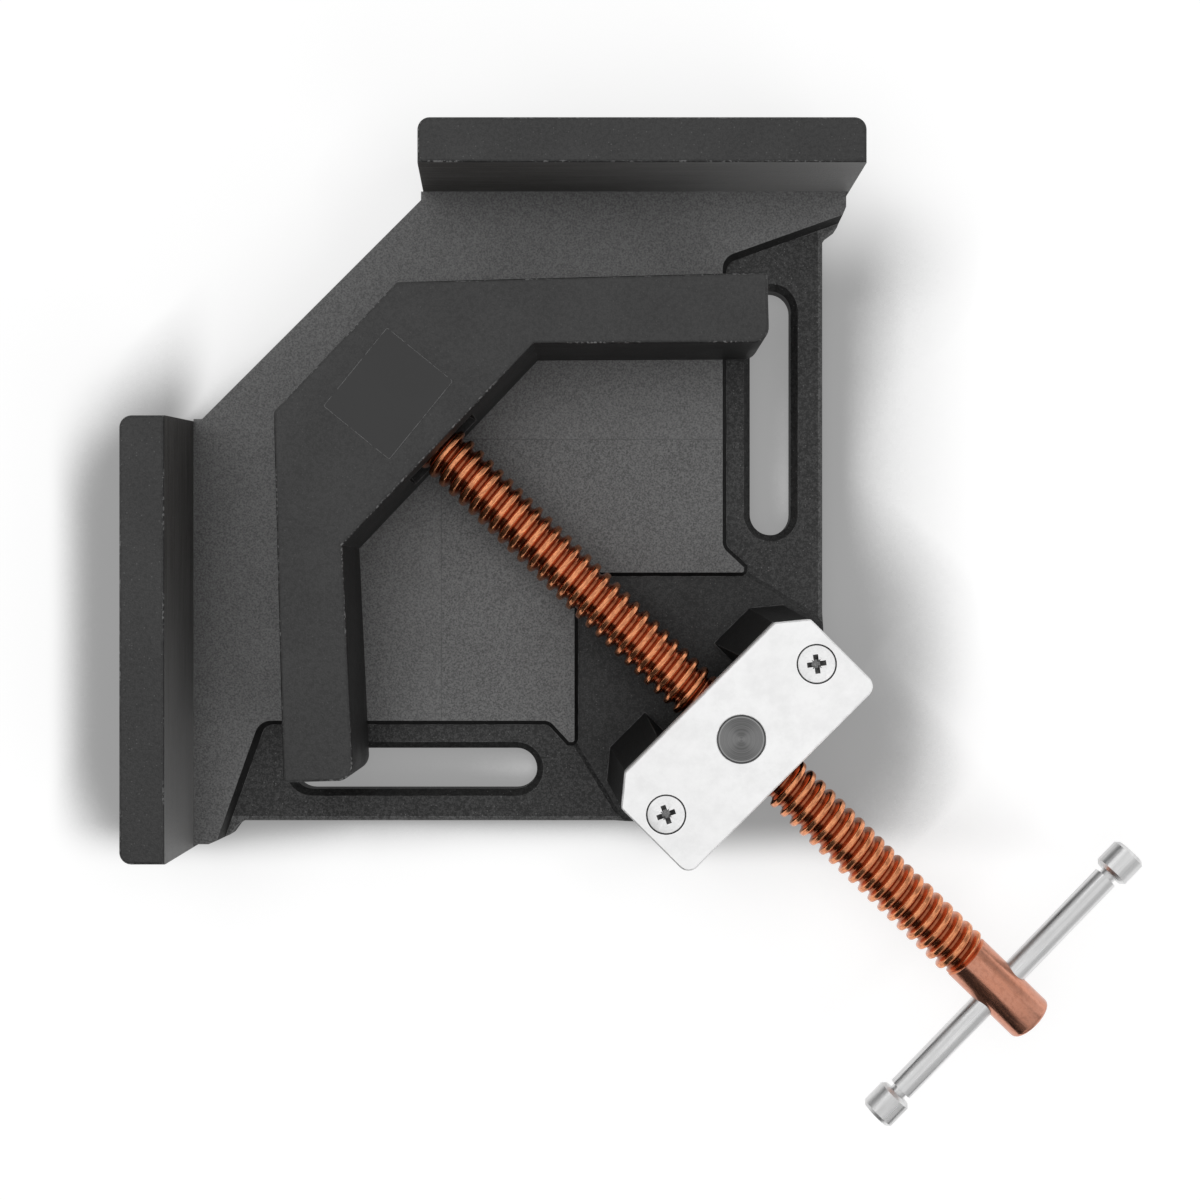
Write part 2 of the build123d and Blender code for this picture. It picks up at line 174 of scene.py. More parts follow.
class EffectShelf:
    """Builds each shared shader effect once, as a node group with named inputs and outputs."""

    def __init__(self) -> None:
        """Builds every group."""
        self.groups: dict[Effect, NodeTree] = {}
        self._edge_wear()
        self._cast_grain()
        self._drawn_lines()
        self._turned_rings()
        self._band()

    def _start(self, effect: Effect, inputs: dict, outputs: tuple[str, ...]) -> tuple[Graph, dict, dict]:
        """Puts an empty group with its sockets on the shelf.

        Args:
            effect: Names the group.
            inputs: Default values by input name; a tuple is a vector.
            outputs: The names of the output values.

        Returns:
            The graph, its inputs by name, and its outputs by name.
        """
        tree = self.groups[effect] = bpy.data.node_groups.new(effect.value, "ShaderNodeTree")
        for name, value in inputs.items():
            kind = "NodeSocketVector" if isinstance(value, tuple) else "NodeSocketFloat"
            tree.interface.new_socket(name, in_out="INPUT", socket_type=kind).default_value = value
        for name in outputs:
            tree.interface.new_socket(name, in_out="OUTPUT", socket_type="NodeSocketFloat")
        start, end = tree.nodes.new("NodeGroupInput"), tree.nodes.new("NodeGroupOutput")
        given = {name: start.outputs[name] for name in inputs}
        return Graph(tree), given, {name: end.inputs[name] for name in outputs}

    def _edge_wear(self) -> None:
        """Builds the mask of worn and rounded edges."""
        values = {"Radius": 0.0008, "Breakup Scale": 300.0, "Strength": 1.0}
        graph, given, out = self._start(Effect.EDGE_WEAR, values, ("Mask",))
        rounded = graph.add("Bevel", {"samples": 6}, {"Radius": given["Radius"]}).outputs[0]
        facing = graph.vector("DOT_PRODUCT", rounded, graph.geometry("Normal"))
        noise = graph.noise(graph.here(), given["Breakup Scale"], 3.0)
        broken = graph.times(graph.math("SUBTRACT", 1.0, facing), graph.span(noise, 0.36, 0.66))
        mask = graph.math("MULTIPLY", graph.span(broken, 0.01, 0.16), given["Strength"], True)
        graph.feed(out["Mask"], mask)

    def _cast_grain(self) -> None:
        """Builds the orange peel, pits and specks of powder coat over a sand casting."""
        values = {"Scale": 900.0, "Speck Scale": 1500.0, "Speck Amount": 0.2}
        names = ("Height", "Grain", "Rough", "Pits", "Specks", "Mottle")
        graph, given, out = self._start(Effect.CAST_GRAIN, values, names)
        place = graph.here()
        peel = graph.noise(place, given["Scale"], 3.0, 0.6)
        fine = graph.noise(place, graph.times(given["Scale"], 2.6), 2.0)
        cells = graph.add("TexVoronoi", None, {"Vector": place, "Scale": given["Speck Scale"]}).outputs
        dot = graph.span(cells["Distance"], 0.05, 0.34, 1.0, 0.0)
        chance = graph.add("SeparateColor", None, {0: cells["Color"]}).outputs[0]
        few = graph.math("LESS_THAN", chance, given["Speck Amount"])
        results = {
            "Height": graph.math("ADD", peel, graph.times(fine, 0.5)),
            "Grain": graph.span(fine, 0.3, 0.7),
            "Rough": graph.span(graph.math("ADD", peel, fine), 0.78, 1.22),
            "Pits": graph.span(peel, 0.52, 0.36),
            "Specks": graph.times(dot, few),
            "Mottle": graph.span(graph.noise(place, 45.0, 5.0), 0.3, 0.7),
        }
        for name, result in results.items():
            graph.feed(out[name], result)

    def _drawn_lines(self) -> None:
        """Builds the fine lines that drawing, grinding or turning leaves along one direction."""
        values = {"Stretch": (40.0, 900.0, 900.0), "Turn": 0.0}
        graph, given, out = self._start(Effect.DRAWN_LINES, values, ("Lines",))
        inputs = {"Vector": graph.here(), "Angle": given["Turn"]}
        turned = graph.add("VectorRotate", {"rotation_type": "Z_AXIS"}, inputs).outputs[0]
        fibres = graph.noise(graph.vector("MULTIPLY", turned, given["Stretch"]), 1.0, 4.0, 0.65)
        graph.feed(out["Lines"], graph.span(fibres, 0.28, 0.72))

    def _turned_rings(self) -> None:
        """Builds the rings that a lathe tool leaves round an upright axis."""
        values = {"Centre": (0.0, 0.0, 0.0), "Pitch": 0.0006}
        graph, given, out = self._start(Effect.TURNED_RINGS, values, ("Rings", "Sweep", "Reach"))
        offset = graph.vector("SUBTRACT", graph.here(), given["Centre"])
        level = graph.vector("MULTIPLY", offset, (1.0, 1.0, 0.0))
        reach = graph.vector("LENGTH", level)
        steps = graph.math("DIVIDE", reach, given["Pitch"])
        noise = graph.add("TexNoise", {"noise_dimensions": "1D"}, {"W": steps, "Scale": 1.0, "Detail": 3.0})
        x, y, _ = graph.split(level)
        fan = graph.math("COSINE", graph.times(graph.math("ARCTAN2", y, x), 2.0))
        graph.feed(out["Reach"], reach)
        graph.feed(out["Rings"], graph.span(noise.outputs[0], 0.3, 0.7))
        graph.feed(out["Sweep"], graph.span(fan, -1.0, 1.0))

    def _band(self) -> None:
        """Builds the mask of a value that lies near a level."""
        values = {"Value": 0.0, "Level": 0.0, "Half Width": 0.0005}
        graph, given, out = self._start(Effect.BAND, values, ("Mask",))
        apart = graph.math("ABSOLUTE", graph.math("SUBTRACT", given["Value"], given["Level"]))
        graph.feed(out["Mask"], graph.math("LESS_THAN", apart, given["Half Width"]))


class Paint(Graph):
    """A material in the making: its graph, its Principled shader and the shared effects."""

    def __init__(self, name: str, shelf: EffectShelf) -> None:
        """Makes the material.

        Args:
            name: The material's name.
            shelf: The shared effects.
        """
        self.material = bpy.data.materials.new(name)
        self.material.use_nodes = True
        super().__init__(self.material.node_tree)
        self.shader = self.tree.nodes["Principled BSDF"]
        self.shelf = shelf

    def effect(self, effect: Effect, values: dict) -> Sockets:
        """Puts a shared effect in, with its values or sockets by name, and returns its outputs."""
        return self.add("Group", {"node_tree": self.shelf.groups[effect]}, values).outputs

    def grain(self, scale: float, speck_scale: float, speck_amount: float) -> Sockets:
        """Puts cast grain in."""
        values = {"Scale": scale, "Speck Scale": speck_scale, "Speck Amount": speck_amount}
        return self.effect(Effect.CAST_GRAIN, values)

    def lines(self, stretch: Place, turn: float = 0.0) -> Socket:
        """Puts drawn lines in, squeezed along each axis once the piece is turned about Z."""
        return self.effect(Effect.DRAWN_LINES, {"Stretch": stretch, "Turn": turn})["Lines"]

    def rings(self, centre: Place, pitch: float = 0.0006) -> Sockets:
        """Puts turned rings in, about an upright axis through a centre."""
        return self.effect(Effect.TURNED_RINGS, {"Centre": centre, "Pitch": pitch})

    def band(self, value: Socket, level: float, half: float) -> Socket:
        """Masks where a value lies no further than half from a level."""
        return self.effect(Effect.BAND, {"Value": value, "Level": level, "Half Width": half})["Mask"]

    def wear(
        self, tone: Socket, level: float, radius: float, strength: float, scale: float = 300.0
    ) -> Socket:
        """Lays a grey over a tone where the piece's edges are worn."""
        values = {"Radius": radius, "Strength": strength, "Breakup Scale": scale}
        return self.mix(self.effect(Effect.EDGE_WEAR, values)["Mask"], tone, grey(level))

    def lay(self, tone: Socket, mask: Socket, share: float, over: object) -> Socket:
        """Lays a colour over a tone where a mask is, up to a share."""
        return self.mix(self.times(mask, share), tone, over)


def background_rays(graph: Graph) -> Socket:
    """Masks the rays that see the background as it is: from the camera, or off metal and glass.

    Args:
        graph: The graph of a material or a world.

    Returns:
        The mask's socket.
    """
    path = graph.add("LightPath").outputs
    mirrored = graph.math("MAXIMUM", path["Is Glossy Ray"], path["Is Transmission Ray"])
    return graph.math("MAXIMUM", path["Is Camera Ray"], mirrored)


@dataclass(frozen=True, kw_only=True)
class Finish:
    """What all finishes have: a span of roughness, and a relief with its strength and depth."""

    name: str
    matt: Span
    relief: Span = (0.05, 0.0002)
    metal: float = 1.0
    shine: float = 0.5

    def build(self, shelf: EffectShelf) -> Material:
        """Builds the material.

        Args:
            shelf: The shared effects.

        Returns:
            The material.
        """
        paint = Paint(self.name, shelf)
        tone, mask, height = self._mix(paint)
        strength, depth = self.relief
        bump = paint.add("Bump", None, {"Strength": strength, "Distance": depth, "Height": height})
        inputs = {
            "Base Color": tone,
            "Roughness": paint.span(mask, 0.0, 1.0, *self.matt),
            "Metallic": self.metal,
            "Specular IOR Level": self.shine,
            "Normal": bump.outputs[0],
        }
        for name, value in inputs.items():
            paint.feed(paint.shader.inputs[name], value)
        return paint.material

    def _mix(self, paint: Paint) -> Mixed:
        """Mixes the tone, the mask that the roughness follows, and the height of the relief."""
        raise NotImplementedError


@dataclass(frozen=True, kw_only=True)
class CoatedCasting(Finish):
    """Black powder coat on a sand casting, its upper surfaces each with a tone of their own, its walls in
    painted shade.
    """

    matt: Span = (0.5, 0.62)
    relief: Span = (0.3, 0.0004)
    grain: Place = (850.0, 1400.0, 0.1)
    metal: float = 0.0
    shine: float = 0.4
    # The walls' grey is painted shade, darker than the upper surfaces of the same coat.
    wall_shade: float = 0.007
    wall_grit: float = 0.5
    top_level: float = 0.047
    top_depth: float = 0.0012
    top: float = 0.031
    top_grit: float = 0.22
    facing_up: Span = (0.55, 0.95)
    rim_height: float = 0.0009
    chip_and_highlight_tone: float = 0.17
    chip_scale: float = 1100.0
    chip_run_scale: float = 60.0
    # Lighter edges: worn coat with a painted highlight.
    wear: float = 0.6
    wear_tone: float = 0.2
    wear_radius: float = 0.0006
    sparkle: float = 0.2
    sparkle_tone: float = 0.22

    def _mix(self, paint: Paint) -> Mixed:
        """Mixes the walls in painted shade, the lower surfaces, the top, the chipped rim with its painted
        highlight and the worn edges with theirs.

        Args:
            paint: The material in the making.

        Returns:
            The tone, the roughness mask and the height.
        """
        grain = paint.grain(*self.grain)
        place = paint.split(paint.here())
        up = paint.split(paint.geometry("Normal"))[2]
        upward = paint.span(up, *self.facing_up)
        # The walls get a darker grey than the upper surfaces: painted shade.
        tone = self._grained(paint, grain, self.wall_shade, self.wall_grit)
        tone = self._floors(paint, grain, place, upward, tone)
        high = paint.math("GREATER_THAN", place[2], self.top_level - self.top_depth)
        top = self._grained(paint, grain, self.top, self.top_grit)
        tone = paint.mix(paint.times(upward, high), tone, top)
        tone = paint.lay(tone, grain["Specks"], self.sparkle, grey(self.sparkle_tone))
        # Lightens the rounded edge of the top: chipped coat with a painted highlight.
        tone = paint.mix(self._chipped_lit_rim(paint, place[2], up), tone, grey(self.chip_and_highlight_tone))
        # Lightens the edges: worn coat with a painted highlight.
        tone = paint.wear(tone, self.wear_tone, self.wear_radius, self.wear)
        return tone, grain["Mottle"], grain["Height"]

    def _floors(
        self, paint: Paint, grain: Sockets, place: Sockets, upward: Socket, tone: Socket
    ) -> Socket:
        """Adds the tones of surfaces below the top; a plain coat has none."""
        return tone

    def _chipped_lit_rim(self, paint: Paint, z: Socket, up: Socket) -> Socket:
        """Masks the chipped coat and painted highlight along the rounded edge of the top.

        Args:
            paint: The material in the making.
            z: Height above the underside.
            up: The upward part of the surface's direction.

        Returns:
            The mask's socket.
        """
        near = paint.math("GREATER_THAN", z, self.top_level - self.rim_height)
        slanted = paint.times(paint.span(up, 0.3, 0.6), paint.span(up, 0.97, 0.85))
        chips = paint.noise(paint.here(), self.chip_scale, 2.0)
        runs = paint.noise(paint.here(), self.chip_run_scale, 3.0)
        broken = paint.times(paint.span(chips, 0.5, 0.62), paint.span(runs, 0.42, 0.6))
        return paint.times(paint.times(near, slanted), broken)

    @staticmethod
    def _grained(paint: Paint, grain: Sockets, level: float, contrast: float) -> Socket:
        """Breaks a tone up into fine grain and pits.

        Args:
            paint: The material in the making.
            grain: The cast grain.
            level: The tone.
            contrast: How far the grain goes from it.

        Returns:
            The grained tone.
        """
        both = paint.math("ADD", paint.times(grain["Grain"], 0.5), paint.times(grain["Rough"], 0.5))
        tone = paint.mix(both, grey(level * (1 - contrast)), grey(level * (1 + contrast)))
        return paint.lay(tone, grain["Pits"], contrast, grey(level * 0.3))


@dataclass(frozen=True, kw_only=True)
class MachinedCasting(CoatedCasting):
    """The base's coat: rough flange, smoother platform, milled floor and glossy jaw faces with a painted
    highlight towards their ends.
    """

    top_grit: float = 0.24
    sparkle: float = 0.42
    low_start: float = 0.001
    low_grit: float = 0.9
    low_sparkle: float = 0.5
    low_sparkle_tone: float = 0.16
    flange_level: float = 0.008
    flange: float = 0.025
    flange_edge: float = 0.191
    flange_bend: Span = (0.0045, 0.0066)
    flange_rim: float = 0.11
    platform_level: float = 0.009
    platform_band: float = 0.0003
    platform: float = 0.017
    floor_level: float = 0.012
    floor_band: float = 0.0004
    floor: float = 0.118
    milled_to: float = 0.0756
    milled_seam: float = 0.00016
    cutter_centre: Place = (0.03, -0.03, 0.0)
    cutter_step: float = 0.0006
    face: float = 0.075
    face_lines: Place = (30.0, 30.0, 700.0)
    face_end_highlight: Span = (0.09, 0.2)
    margin: float = 0.0001

    def _floors(
        self, paint: Paint, grain: Sockets, place: Sockets, upward: Socket, tone: Socket
    ) -> Socket:
        """Adds the tones of the flange, the platform, the floor and the jaw faces.

        Args:
            paint: The material in the making.
            grain: The cast grain.
            place: X, Y and Z.
            upward: How far the surface faces up.
            tone: The tone so far.

        Returns:
            The new tone.
        """
        x, y, z = place
        down = paint.times(y, -1.0)
        furthest = paint.math("MAXIMUM", x, down)
        nearest = paint.math("MINIMUM", x, down)
        low = paint.times(upward, paint.math("GREATER_THAN", z, self.low_start))
        tone = paint.mix(low, tone, self._grained(paint, grain, self.flange, self.low_grit))
        specks = paint.times(low, paint.times(grain["Specks"], self.low_sparkle))
        tone = paint.mix(specks, tone, grey(self.low_sparkle_tone))
        outer = paint.math("GREATER_THAN", furthest, self.flange_edge)
        outer = paint.times(outer, paint.math("GREATER_THAN", nearest, 0.0))
        outer = paint.times(outer, paint.span(z, *self.flange_bend))
        low_rim = paint.times(outer, paint.math("LESS_THAN", z, self.flange_level + self.margin))
        tone = paint.lay(tone, low_rim, 0.6, self._grained(paint, grain, self.flange_rim, 0.5))
        band = paint.times(upward, paint.band(z, self.platform_level, self.platform_band))
        tone = paint.mix(band, tone, self._grained(paint, grain, self.platform, self.low_grit))
        band = paint.times(upward, paint.band(z, self.floor_level, self.floor_band))
        tone = paint.mix(band, tone, self._milled(paint, grain, nearest))
        beside = paint.math("MINIMUM", paint.math("ABSOLUTE", x), paint.math("ABSOLUTE", y))
        above = paint.math("GREATER_THAN", z, self.floor_level + self.margin)
        on_face = paint.times(paint.math("LESS_THAN", beside, self.margin), above)
        return paint.mix(on_face, tone, self._brushed_face_and_highlight(paint, furthest))

    def _brushed_face_and_highlight(self, paint: Paint, furthest: Socket) -> Socket:
        """Builds the tone of the jaws' inner faces, with a painted highlight towards their ends.

        Args:
            paint: The material in the making.
            furthest: How far the place is from the further jaw's face.

        Returns:
            The tone.
        """
        dark, light = grey(self.face * 0.6, 0.06), grey(self.face * 1.25, 0.04)
        face = paint.mix(paint.lines(self.face_lines), dark, light)
        # Lightens the faces towards their ends: painted highlight.
        return paint.lay(face, paint.span(furthest, *self.face_end_highlight), 0.7, grey(self.face * 3.6))

    def _milled(self, paint: Paint, grain: Sockets, inward: Socket) -> Socket:
        """Builds the tone of the milled floor, lighter where the cutter went over it twice.

        Args:
            paint: The material in the making.
            grain: The cast grain.
            inward: How far the place is from the nearer jaw's face.

        Returns:
            The tone.
        """
        arcs = paint.rings(self.cutter_centre, self.cutter_step)["Rings"]
        tone = paint.mix(grain["Grain"], grey(self.floor * 0.5), grey(self.floor * 1.5))
        tone = paint.lay(tone, arcs, 0.22, grey(self.floor * 1.35))
        twice = paint.math("LESS_THAN", inward, self.milled_to)
        tone = paint.lay(tone, twice, 0.12, grey(self.floor * 1.6))
        seam = paint.band(inward, self.milled_to, self.milled_seam)
        return paint.lay(tone, seam, 0.5, grey(self.floor * 0.5))


@dataclass(frozen=True, kw_only=True)
class PlatedSteel(Finish):
    """Zinc-plated steel, drawn, ground or matt."""

    relief: Span = (0.08, 0.0002)
    grain: Place = (500.0, 1200.0, 0.1)
    colour: float
    shade: float
    mottle: float = 0.3
    stretch: Place
    turn: float = 0.0
    wear: float = 0.0
    wear_tone: float = 0.92
    wear_radius: float = 0.0005

    def _mix(self, paint: Paint) -> Mixed:
        """Mixes the lines, the mottle, the worn edges and the seams.

        Args:
            paint: The material in the making.

        Returns:
            The tone, the roughness mask and the height.
        """
        lines = paint.lines(self.stretch, self.turn)
        grain = paint.grain(*self.grain)
        tone = paint.mix(lines, grey(self.shade), grey(self.colour))
        tone = paint.lay(tone, grain["Mottle"], self.mottle, grey(self.shade))
        if self.wear > 0.0:
            tone = paint.wear(tone, self.wear_tone, self.wear_radius, self.wear)
        return self._seams(paint, tone), lines, paint.math("ADD", lines, grain["Height"])

    def _seams(self, paint: Paint, tone: Socket) -> Socket:
        """Adds what is dark at a piece's joints; a plain piece has nothing."""
        return tone


@dataclass(frozen=True, kw_only=True)
class BoredPlate(PlatedSteel):
    """A plated plate with a dark line round each hole."""

    holes: tuple[Place, ...]
    line: float = 0.00017
    line_tone: float = 0.03

    def _seams(self, paint: Paint, tone: Socket) -> Socket:
        """Adds the dark line round each hole.

        Args:
            paint: The material in the making.
            tone: The tone so far.

        Returns:
            The new tone.
        """
        for x, y, radius in self.holes:
            reach = paint.rings((x, y, 0.0))["Reach"]
            line = paint.band(reach, radius + self.line, self.line)
            tone = paint.mix(line, tone, grey(self.line_tone))
        return tone


@dataclass(frozen=True, kw_only=True)
class RecessedHead(PlatedSteel):
    """A plated screw with painted shade in its driver recess; its X axis runs up and out at the head."""

    depth: float = 0.0015
    skin: float = 0.00005
    dirt_and_recess_shade: Place = (1600.0, 3000.0, 0.5)

    def _seams(self, paint: Paint, tone: Socket) -> Socket:
        """Paints shade into everything below the head's top, and dulls the head a little.

        Args:
            paint: The material in the making.
            tone: The tone so far.

        Returns:
            The new tone.
        """
        recess = paint.band(paint.split(paint.here())[0], -self.depth, self.depth - self.skin)
        dirt_and_recess_shade = paint.grain(*self.dirt_and_recess_shade)
        tone = paint.lay(tone, dirt_and_recess_shade["Pits"], 0.1, grey(0.4))
        # Everything below the head's top gets a dark speckled grey: painted shade.
        return paint.mix(recess, tone, paint.mix(dirt_and_recess_shade["Specks"], grey(0.2), grey(0.6)))


@dataclass(frozen=True, kw_only=True)
class CopperThread(Finish):
    """Copper plate with a painted highlight on the crests and painted shade in the roots, on a screw along
    its own X.
    """

    matt: Span = (0.17, 0.27)
    grain: Place = (700.0, 1500.0, 0.2)
    root_radius: float
    head_radius: float
    crest_radius: float
    head_end: float
    head: Colour = (0.61, 0.3, 0.215, 1.0)
    # The crests' colour carries a painted highlight.
    crest: Colour = (0.92, 0.38, 0.18, 1.0)
    flank: Colour = (0.68, 0.23, 0.11, 1.0)
    # The roots' colour is painted shade, also used for the rubbed marks and the pits.
    root_shade_and_marks: Colour = (0.25, 0.08, 0.04, 1.0)
    flank_share: float = 0.55
    crest_share: float = 0.985
    drawn: Place = (160.0, 1500.0, 1500.0)
    rubs: Place = (2600.0, 420.0, 420.0)
    rub_rise: Span = (0.0001, 0.0003)
    rub_depth: float = 5.0

    def _mix(self, paint: Paint) -> Mixed:
        """Mixes the roots in painted shade, the flanks, the crests in painted highlight and the head, and
        what rubbing and grain leave on them.

        Args:
            paint: The material in the making.

        Returns:
            The tone, the roughness mask and the height.
        """
        x, y, z = paint.split(paint.here())
        reach = paint.vector("LENGTH", paint.add("CombineXYZ", None, {1: y, 2: z}).outputs[0])
        lines = paint.lines(self.drawn)
        grain = paint.grain(*self.grain)
        middle = self.root_radius + self.flank_share * (self.crest_radius - self.root_radius)
        # Darker towards the roots and lighter towards the crests: painted shade and painted highlight.
        tone = paint.mix(paint.span(reach, self.root_radius, middle), self.root_shade_and_marks, self.flank)
        crest = paint.span(reach, middle, self.crest_radius * self.crest_share)
        tone = paint.mix(crest, tone, self.crest)
        tone = paint.mix(paint.math("LESS_THAN", x, self.head_end), tone, self.head)
        tone = paint.lay(tone, lines, 0.2, self.flank)
        on_crest = paint.span(reach, *(self.head_radius + rise for rise in self.rub_rise))
        rubbed = paint.times(on_crest, paint.span(paint.lines(self.rubs), 0.4, 0.68))
        tone = paint.lay(tone, rubbed, 0.5, self.root_shade_and_marks)
        tone = paint.lay(tone, grain["Mottle"], 0.3, self.flank)
        tone = paint.lay(tone, grain["Pits"], 0.2, self.root_shade_and_marks)
        height = paint.math("ADD", lines, grain["Height"])
        return tone, lines, paint.math("SUBTRACT", height, paint.times(rubbed, self.rub_depth))


@dataclass(frozen=True, kw_only=True)
class TurnedSteel(Finish):
    """Blackened turned steel, ringed about the swivel axis, with bands near its rim.

    Each band is how far beyond the rim it lies, its half width and its tone.
    """

    matt: Span = (0.42, 0.3)
    relief: Span = (0.2, 0.0001)
    metal: float = 0.8
    centre: Place
    pitch: float = 0.0005
    rim: float = 0.0068
    bands: tuple[Place, ...] = ((-0.0005, 0.00013, 0.3), (0.0004, 0.0004, 0.85), (0.0, 0.00017, 0.02))

    def _mix(self, paint: Paint) -> Mixed:
        """Mixes the rings, the fan of light on them and the bands.

        Args:
            paint: The material in the making.

        Returns:
            The tone, the roughness mask and the height.
        """
        rings = paint.rings(self.centre, self.pitch)
        tone = paint.mix(rings["Rings"], grey(0.1), grey(0.16))
        tone = paint.lay(tone, rings["Sweep"], 0.5, grey(0.24))
        for beyond, half, band_tone in self.bands:
            band = paint.band(rings["Reach"], self.rim + beyond, half)
            tone = paint.lay(tone, band, 0.92, grey(band_tone))
        return tone, rings["Rings"], rings["Rings"]


@dataclass(frozen=True, kw_only=True)
class LabelFilm(Finish):
    """A bare black film label, bright where its edge is worn."""

    matt: Span = (0.52, 0.6)
    grain: Place = (400.0, 900.0, 0.02)
    metal: float = 0.0
    tones: Span = (0.014, 0.018)
    edge: tuple[float, ...] = (0.2, 0.0004, 1.0, 700.0)

    def _mix(self, paint: Paint) -> Mixed:
        """Mixes the film and its worn edge.

        Args:
            paint: The material in the making.

        Returns:
            The tone, the roughness mask and the height.
        """
        grain = paint.grain(*self.grain)
        tone = paint.mix(grain["Mottle"], *map(grey, self.tones))
        return paint.wear(tone, *self.edge), grain["Mottle"], grain["Height"]


def dress(node: str, material: Material) -> None:
    """Gives a CAD node its finish.

    Args:
        node: The node's name.
        material: The finish.
    """
    slots = frame["nodes"][node].data.materials
    slots.clear()
    slots.append(material)
    LOG.info("dressed %s in %s", node, material.name)


def mount(piece: Object, material: Material, body: Body, node: str = "") -> None:
    """Gives a built piece its finish and lets it ride on a body.

    Args:
        piece: The piece.
        material: The finish.
        body: The body that it moves with.
        node: The CAD node that it replaces, if it replaces one.
    """
    piece.data.materials.append(material)
    if node:
        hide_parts(node)
    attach(piece, body.value)
    LOG.info("built %s", piece.name)


def mesh_piece(
    name: str, points: list, faces: list, place: Matrix, crease_deg: float = 32.0
) -> Object:
    """Makes a mesh object with smooth faces and creases at its sharp edges.

    Args:
        name: The piece's name.
        points: Its vertices.
        faces: Its faces as vertex numbers.
        place: Where it goes.
        crease_deg: The bend from which an edge is sharp.

    Returns:
        The object.
    """
    mesh = bpy.data.meshes.new(name)
    mesh.from_pydata(points, [], faces)
    work = bmesh.new()
    work.from_mesh(mesh)
    bmesh.ops.remove_doubles(work, verts=work.verts, dist=1e-7)
    bmesh.ops.dissolve_degenerate(work, edges=work.edges, dist=1e-7)
    bmesh.ops.recalc_face_normals(work, faces=work.faces)
    work.to_mesh(mesh)
    work.free()
    mesh.shade_smooth()
    mesh.set_sharp_from_angle(angle=math.radians(crease_deg))
    piece = bpy.data.objects.new(name, mesh)
    piece.matrix_world = place
    bpy.context.scene.collection.objects.link(piece)
    return piece


def lathe(profile: list[tuple[float, float]], steps: int) -> tuple[list, list]:
    """Turns a closed profile about the X axis.

    Args:
        profile: Pairs of place along X and radius, from one end on the axis to the other.
        steps: How many flats go round.

    Returns:
        The vertices and faces.
    """
    points, faces = [], []
    for i in range(steps):
        turn = math.tau * i / steps
        points += [(x, r * math.cos(turn), r * math.sin(turn)) for x, r in profile]
    count = len(profile)
    for i in range(steps):
        here, there = i * count, (i + 1) % steps * count
        faces += [(here + j, there + j, there + j + 1, here + j + 1) for j in range(count - 1)]
    return points, faces


def cut(piece: Object, tool: Object) -> None:
    """Cuts a tool's shape out of a piece and removes the tool.

    Args:
        piece: The piece to cut.
        tool: The shape to take away.
    """
    modifier = piece.modifiers.new("cut", "BOOLEAN")
    modifier.object = tool
    modifier.operation = "DIFFERENCE"
    modifier.solver = "EXACT"
    bpy.context.view_layer.update()
    shown = piece.evaluated_get(bpy.context.evaluated_depsgraph_get())
    result = bpy.data.meshes.new_from_object(shown)
    piece.modifiers.clear()
    piece.data = result
    bpy.data.objects.remove(tool)


def join(name: str, pieces: list[Object], crease_deg: float = 32.0) -> Object:
    """Joins pieces into one object, in the first one's frame.

    Args:
        name: The joined piece's name.
        pieces: The pieces.
        crease_deg: The bend from which an edge is sharp.

    Returns:
        The joined object.
    """
    target = pieces[0]
    work = bmesh.new()
    bpy.context.view_layer.update()
    for piece in pieces:
        piece.data.transform(target.matrix_world.inverted() @ piece.matrix_world)
        work.from_mesh(piece.data)
    work.to_mesh(target.data)
    work.free()
    for piece in pieces[1:]:
        bpy.data.objects.remove(piece)
    target.name = name
    target.data.shade_smooth()
    target.data.set_sharp_from_angle(angle=math.radians(crease_deg))
    return target


def joint(name: str) -> dict:
    """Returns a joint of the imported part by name."""
    return next(entry for entry in frame["joints"] if entry["name"] == name)


def turned_z(degrees: float) -> Matrix:
    """Returns a turn about Z."""
    return Matrix.Rotation(math.radians(degrees), 4, "Z")


def spindle_frame() -> Matrix:
    """Works out the spindle's own frame.

    Returns:
        The frame: origin on the swivel axis, X towards the moving jaw, Z up.
    """
    along = Vector(joint("spindle_turn")["axis"]).normalized()
    up = Vector((0.0, 0.0, 1.0))
    across = up.cross(along)
    frame_axes = Matrix((along, across, up)).transposed().to_4x4()
    return Matrix.Translation(Vector(joint("nut_swivel")["pos_m"])) @ frame_axes


@dataclass
class BaseCasting:
    """The casting with the fixed jaws, the floor, the slots and the posts."""

    def build(self, shelf: EffectShelf) -> None:
        """Dresses the casting, with the shared effects from the shelf."""
        dress("base_casting", MachinedCasting(name="coated_casting").build(shelf))


